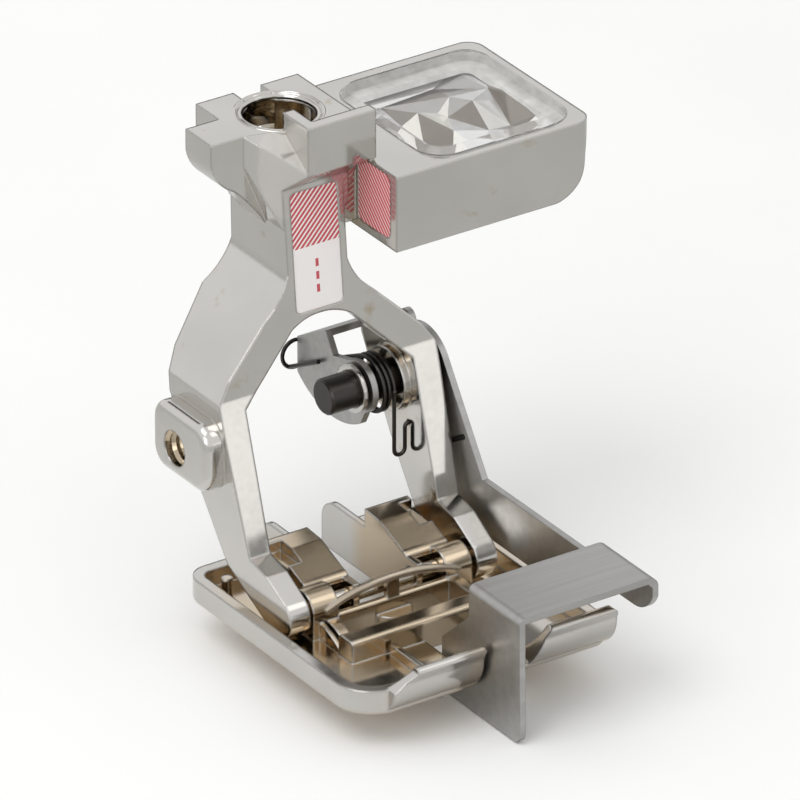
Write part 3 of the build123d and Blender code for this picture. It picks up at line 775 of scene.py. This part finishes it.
def label_print(name, colours, sizes, across, share, stitched=False):
    """Red stripes on a pale ground, which may end over a field with a line of stitch dashes."""
    material, shader = new_material(name)
    split = add_node(material, "ShaderNodeSeparateXYZ")
    link(material, object_place(material), split, "Vector")
    ink = hatch_ink(material, split, across, sizes.hatch_pitch, share)
    if stitched:
        above = calc(material, "GREATER_THAN", (split, "Z"), sizes.hatch_low)
        ink = calc(material, "MULTIPLY", ink, above)
        ink = calc(material, "MAXIMUM", ink, stitch_ink(material, split, across, sizes))
    colour = mix_colour(material, ink, opaque(colours.print_white), opaque(colours.print_red))
    link(material, colour, shader, "Base Color")
    grained_gloss(material, shader, 3000.0, 0.28, 0.45)
    return material


class FOOT_OT_labels(bpy.types.Operator):
    """Print the stripes on the two labels"""

    bl_idname = "foot.labels"
    bl_label = "Print Labels"

    def execute(self, context):
        sizes = context.scene.foot_sizes
        colours = context.scene.foot_colours
        finish_node("front_label", label_print("front_print", colours, sizes, "X", 0.6, stitched=True))
        finish_node("side_label", label_print("side_print", colours, sizes, "Y", 0.76))
        return {"FINISHED"}


def clear_glass(name):
    """Clear moulded window with a thin gloss coat."""
    material, shader = new_material(name)
    shader.inputs["Transmission Weight"].default_value = 1.0
    shader.inputs["IOR"].default_value = 1.12
    shader.inputs["Coat Weight"].default_value = 0.5
    shader.inputs["Coat Roughness"].default_value = 0.04
    shader.inputs["Base Color"].default_value = opaque((0.985, 0.985, 0.98))
    grained_gloss(material, shader, 420.0, 0.0, 0.08)
    return material


def frosted(name, colours):
    """Pale clouded plastic."""
    material, shader = new_material(name)
    tone = two_tones(material, object_noise(material, 900.0), colours.frost_shade, colours.frost)
    link(material, tone, shader, "Base Color")
    shader.inputs["Roughness"].default_value = 0.3
    return material


# Painted reflections of the reflector's facets: base colours from those that lean to the left back to those
# that lean to the right front
FACET_PAINTED_REFLECTIONS = (
    (0.0, (0.11, 0.08, 0.055)),
    (0.28, (0.22, 0.19, 0.16)),
    (0.42, (0.55, 0.55, 0.55)),
    (0.6, (0.75, 0.75, 0.76)),
    (0.8, (0.95, 0.92, 0.86)),
    (1.0, (0.45, 0.45, 0.45)),
)


def painted_facet_mirror(name):
    """Mirror whose facets carry painted reflections: a base colour set by the way each facet leans."""
    material, shader = new_material(name)
    shader.inputs["Metallic"].default_value = 0.75
    face = add_node(material, "ShaderNodeNewGeometry"), "True Normal"
    lean = vector_calc(material, "DOT_PRODUCT", face, (0.75, -0.6, 0.0))
    tone = colour_ramp(material, rescale(material, lean, -0.3, 0.3), FACET_PAINTED_REFLECTIONS)
    link(material, tone, shader, "Base Color")
    grained_gloss(material, shader, 700.0, 0.05, 0.2)
    return material


def rounded_loop(low, high, inset, corner, height, steps=6):
    """Points of a rounded rectangle, drawn in from a box by an inset."""
    radius = max(corner - inset, 0.2 * MM)
    reach = inset + radius
    corners = (
        (high.x - reach, high.y - reach, 0),
        (low.x + reach, high.y - reach, 90),
        (low.x + reach, low.y + reach, 180),
        (high.x - reach, low.y + reach, 270),
    )
    points = []
    for x, y, turn in corners:
        for step in range(steps + 1):
            angle = math.radians(turn + 90 * step / steps)
            points.append((x + radius * math.cos(angle), y + radius * math.sin(angle), height))
    return points


def window_seat(low, high, top, sizes):
    """Points and faces of the pale frame: a band under the window's edge and a thin sleeve inside it."""
    sleeve_top = top + sizes.seat_rise
    base = top - sizes.seat_thick
    section = (
        (0.02 * MM, sleeve_top),
        (0.08 * MM, sleeve_top),
        (0.12 * MM, top),
        (sizes.seat_band, top),
        (sizes.seat_band + 0.25 * MM, base),
        (0.02 * MM, base),
    )
    verts, faces = [], []
    for number, (inset, height) in enumerate(section):
        loop = rounded_loop(low, high, inset, sizes.window_corner, height)
        verts += loop
        faces += band_faces(len(loop), number, (number + 1) % len(section))
    return verts, faces


# Points where the reflector's facets meet: shares of its width, its depth and its height
FACET_RIDGES = (
    (0.2, 0.86, 0.15),
    (0.6, 0.68, 0.95),
    (0.44, 0.58, 0.5),
    (0.12, 0.52, 0.85),
    (0.3, 0.6, 1.0),
    (0.48, 0.53, 0.2),
    (0.17, 0.36, 0.1),
    (0.09, 0.42, 0.9),
    (0.87, 0.56, 0.2),
    (0.93, 0.54, 0.95),
    (0.94, 0.22, 0.7),
    (0.76, 0.25, 0.1),
    (0.69, 0.56, 1.0),
    (0.63, 0.9, 0.1),
    (0.9, 0.68, 0.6),
    (0.36, 0.3, 0.9),
    (0.56, 0.2, 0.75),
    (0.4, 0.08, 0.3),
    (0.75, 0.1, 0.9),
)
FACET_RIM = 0.45
FACET_FLOOR = 0.58


def cut_reflector(low, high, corner, top, base):
    """Points and faces of the cut reflector: facets between ridge points, on a straight-sided base."""
    inset = 0.6 * MM
    inside_only, merge_below = 1, 1e-7
    rim = rounded_loop(low, high, inset, corner, base, steps=2)
    plan = [Vector((x, y)) for x, y, _ in rim]
    lift = [FACET_RIM] * len(plan)
    for across, along, height in FACET_RIDGES:
        x = low.x + inset + across * (high.x - low.x - 2 * inset)
        y = low.y + inset + along * (high.y - low.y - 2 * inset)
        plan.append(Vector((x, y)))
        lift.append(height)
    flat, _, cells, *_ = delaunay_2d_cdt(plan, [], [list(range(len(rim)))], inside_only, merge_below)
    verts = []
    for point in flat:
        nearest = min(range(len(plan)), key=lambda i: (plan[i] - point).length)
        share = FACET_FLOOR + (1 - FACET_FLOOR) * lift[nearest]
        verts.append((point.x, point.y, base + (top - base) * share))
    faces = [tuple(cell) for cell in cells]
    edge, count = len(rim), len(verts)
    verts += rim
    faces += [(i, (i + 1) % edge, count + (i + 1) % edge, count + i) for i in range(edge)]
    faces.append(tuple(count + i for i in reversed(range(edge))))
    return verts, faces


class FOOT_OT_sensor(bpy.types.Operator):
    """Clear the window, and cut the reflector and its pale frame under it"""

    bl_idname = "foot.sensor"
    bl_label = "Finish Sensor"

    def execute(self, context):
        sizes = context.scene.foot_sizes
        colours = context.scene.foot_colours
        finish_node("sensor_window", clear_glass("clear_window"))
        low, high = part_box("sensor_window")
        plate_low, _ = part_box("sensor_mirror")
        seat = window_seat(low, high, low.z - 0.02 * MM, sizes)
        mesh_piece("window_seat", *seat, frosted("frosted_frame", colours), "mirror")
        cut = cut_reflector(low, high, sizes.window_corner, low.z - 0.06 * MM, plate_low.z)
        # The reflector's facets carry painted reflections
        reflector = mesh_piece("cut_reflector", *cut, painted_facet_mirror("cut_mirror"), "mirror")
        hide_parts("sensor_mirror")
        return {"FINISHED"}


def aimed(item, place):
    """Turns an object at a place so that its own Z axis, or a lamp's light, meets the part."""
    axis = "-Z" if item.type == "LIGHT" else "Z"
    item.location = place
    item.rotation_mode = "QUATERNION"
    item.rotation_quaternion = (Vector(FOOT_MIDDLE) - Vector(place)).to_track_quat(axis, "Y")


def soft_lamp(name, place, width, power):
    """A square area lamp that lights the part."""
    data = bpy.data.lights.new(name, "AREA")
    data.size = width
    data.energy = power
    lamp = bpy.data.objects.new(name, data)
    bpy.context.scene.collection.objects.link(lamp)
    aimed(lamp, place)


def mirrored_only(card):
    """Leaves a card to the reflections in the metal."""
    card.visible_camera = False
    card.visible_diffuse = False
    card.visible_transmission = False
    card.visible_shadow = False
    card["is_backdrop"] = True


def apron_card(height):
    """Grey floor card round the part, clear in its middle, that tones the upright faces."""
    clear, full = 20 * MM, 48 * MM
    bpy.ops.mesh.primitive_plane_add(size=2.4, location=(FOOT_MIDDLE[0], FOOT_MIDDLE[1], height))
    card = bpy.context.active_object
    card.name = "apron_card"
    felt, shader = new_material("grey_felt")
    shader.inputs["Base Color"].default_value = opaque((0.62, 0.62, 0.61))
    shader.inputs["Roughness"].default_value = 0.9
    away = vector_calc(felt, "LENGTH", object_place(felt))
    link(felt, rescale(felt, away, clear, full), shader, "Alpha")
    card.data.materials.append(felt)
    mirrored_only(card)


def band_card():
    """Dark cloth low on the wall behind the right side, which draws dark lines along the far edges."""
    radius, low, high = 0.8, -0.03, 0.16
    start, sweep, steps = 5, 70, 24
    cloth, shader = new_material("dark_cloth")
    shader.inputs["Base Color"].default_value = opaque((0.03, 0.03, 0.03))
    shader.inputs["Roughness"].default_value = 1.0
    verts = []
    for step in range(steps + 1):
        angle = math.radians(start + sweep * step / steps)
        verts += [(radius * math.cos(angle), radius * math.sin(angle), z) for z in (low, high)]
    faces = [(2 * i, 2 * i + 2, 2 * i + 3, 2 * i + 1) for i in range(steps)]
    mesh = bpy.data.meshes.new("band_card")
    mesh.from_pydata(verts, [], faces)
    mesh.materials.append(cloth)
    card = bpy.data.objects.new("band_card", mesh)
    bpy.context.scene.collection.objects.link(card)
    mirrored_only(card)


def glow_card(name, place, width, height, level):
    """Evenly glowing card that only the metal mirrors, bright for a highlight or dim for a dark line."""
    glow, shader = new_material(name)
    shader.inputs["Base Color"].default_value = opaque((0, 0, 0))
    shader.inputs["Emission Color"].default_value = opaque((1, 0.995, 0.98))
    shader.inputs["Emission Strength"].default_value = level
    bpy.ops.mesh.primitive_plane_add(size=1.0)
    card = bpy.context.active_object
    card.name = name
    card.scale = (width, height, 1)
    aimed(card, place)
    card.data.materials.append(glow)
    mirrored_only(card)


def set_world(scene):
    """White to the camera, mirrors and glass, and soft light from a pale ceiling."""
    world = bpy.data.worlds.new("studio")
    scene.world = world
    world.use_nodes = True
    world.node_tree.nodes.clear()
    split = add_node(world, "ShaderNodeSeparateXYZ")
    link(world, (add_node(world, "ShaderNodeTexCoord"), "Generated"), split, "Vector")
    height = rescale(world, (split, "Z"), -1.0, 1.0)
    levels = ((0.0, 0.9), (0.5, 0.95), (0.7, 0.75), (1.0, 0.95))
    tones = [(at, (level, level, level * 0.985)) for at, level in levels]
    studio = add_node(world, "ShaderNodeBackground")
    link(world, colour_ramp(world, height, tones), studio, "Color")
    white = add_node(world, "ShaderNodeBackground", Color=opaque((1, 1, 1)))
    path = add_node(world, "ShaderNodeLightPath")
    seen = path, "Is Camera Ray"
    for ray in ("Is Glossy Ray", "Is Transmission Ray"):
        seen = calc(world, "MAXIMUM", seen, (path, ray))
    mix = add_node(world, "ShaderNodeMixShader")
    link(world, seen, mix, "Fac")
    link(world, (studio, "Background"), mix, 1)
    link(world, (white, "Background"), mix, 2)
    out = add_node(world, "ShaderNodeOutputWorld")
    link(world, (mix, "Shader"), out, "Surface")


def set_camera(scene, sizes):
    """Long lens at the photo's angle, aimed at the middle of the picture."""
    azimuth = math.radians(-33.7)
    elevation = math.radians(27.9)
    x = math.sin(azimuth) * math.cos(elevation)
    y = -math.cos(azimuth) * math.cos(elevation)
    back = Vector((x, y, math.sin(elevation)))
    data = bpy.data.cameras.new("camera")
    data.lens = 600.0
    data.sensor_width = 36.0
    distance = sizes.view_width * data.lens / data.sensor_width
    data.clip_start = distance * 0.1
    data.clip_end = distance * 10
    camera = bpy.data.objects.new("camera", data)
    scene.collection.objects.link(camera)
    camera.location = Vector(PICTURE_MIDDLE) + back * distance
    camera.rotation_mode = "QUATERNION"
    camera.rotation_quaternion = (-back).to_track_quat("-Z", "Y")
    scene.camera = camera
    scene.view_settings.view_transform = "Standard"


class FOOT_OT_stage(bpy.types.Operator):
    """Lay the floor, light it and set the camera"""

    bl_idname = "foot.stage"
    bl_label = "Set Stage"

    def execute(self, context):
        sizes = context.scene.foot_sizes
        colours = context.scene.foot_colours
        low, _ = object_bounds()
        floor_z = low.z - sizes.floor_drop
        bpy.ops.mesh.primitive_plane_add(size=3.0, location=(0, 0, floor_z))
        floor = context.active_object
        floor.name = "floor"
        floor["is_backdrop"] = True
        paint, shader = new_material("floor_paper")
        tone = two_tones(paint, object_noise(paint, 40.0), tinted(colours.floor, 0.985), colours.floor)
        link(paint, tone, shader, "Base Color")
        shader.inputs["Roughness"].default_value = 0.9
        floor.data.materials.append(paint)
        set_world(context.scene)
        soft_lamp("lamp_top", (-0.25, -0.05, 0.45), width=0.3, power=0.7)
        soft_lamp("lamp_left", (-0.5, -0.25, 0.15), width=0.3, power=0.45)
        glow_card("low_card", (0.3, -0.53, 0.005), 0.34, 0.05, level=1.5)
        glow_card("high_card", (0.3, -0.3, 0.42), 0.2, 0.2, level=1.8)
        glow_card("dark_card", (0.03, 0.44, 0.4), 0.17, 0.2, level=0.02)
        apron_card(floor_z + 0.02 * MM)
        band_card()
        set_camera(context.scene, sizes)
        return {"FINISHED"}


class FOOT_PT_panel(bpy.types.Panel):
    """Lists the finishing steps of the presser foot"""

    bl_idname = "FOOT_PT_panel"
    bl_label = "Presser Foot"
    bl_space_type = "VIEW_3D"
    bl_region_type = "UI"
    bl_category = "Presser Foot"

    def draw(self, context):
        layout = self.layout
        for step in STEPS:
            layout.operator(step.bl_idname)
        for group in (context.scene.foot_sizes, context.scene.foot_colours):
            for key in group.__annotations__:
                layout.prop(group, key)


STEPS = (
    FOOT_OT_casting,
    FOOT_OT_socket_rim,
    FOOT_OT_sole,
    FOOT_OT_guide,
    FOOT_OT_pivot,
    FOOT_OT_labels,
    FOOT_OT_sensor,
    FOOT_OT_stage,
)
CLASSES = (FootSizes, FootColours, *STEPS, FOOT_PT_panel)


def register():
    """Registers the classes and hangs the sizes and colours on the scene."""
    for item in CLASSES:
        bpy.utils.register_class(item)
    bpy.types.Scene.foot_sizes = PointerProperty(type=FootSizes)
    bpy.types.Scene.foot_colours = PointerProperty(type=FootColours)


def unregister():
    """Takes back what register() added."""
    del bpy.types.Scene.foot_colours
    del bpy.types.Scene.foot_sizes
    for item in reversed(CLASSES):
        bpy.utils.unregister_class(item)


def main():
    """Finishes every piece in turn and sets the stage."""
    register()
    bpy.ops.foot.casting()
    bpy.ops.foot.socket_rim()
    bpy.ops.foot.sole()
    bpy.ops.foot.guide()
    bpy.ops.foot.pivot()
    bpy.ops.foot.labels()
    bpy.ops.foot.sensor()
    bpy.ops.foot.stage()


if __name__ == "__main__":
    main()
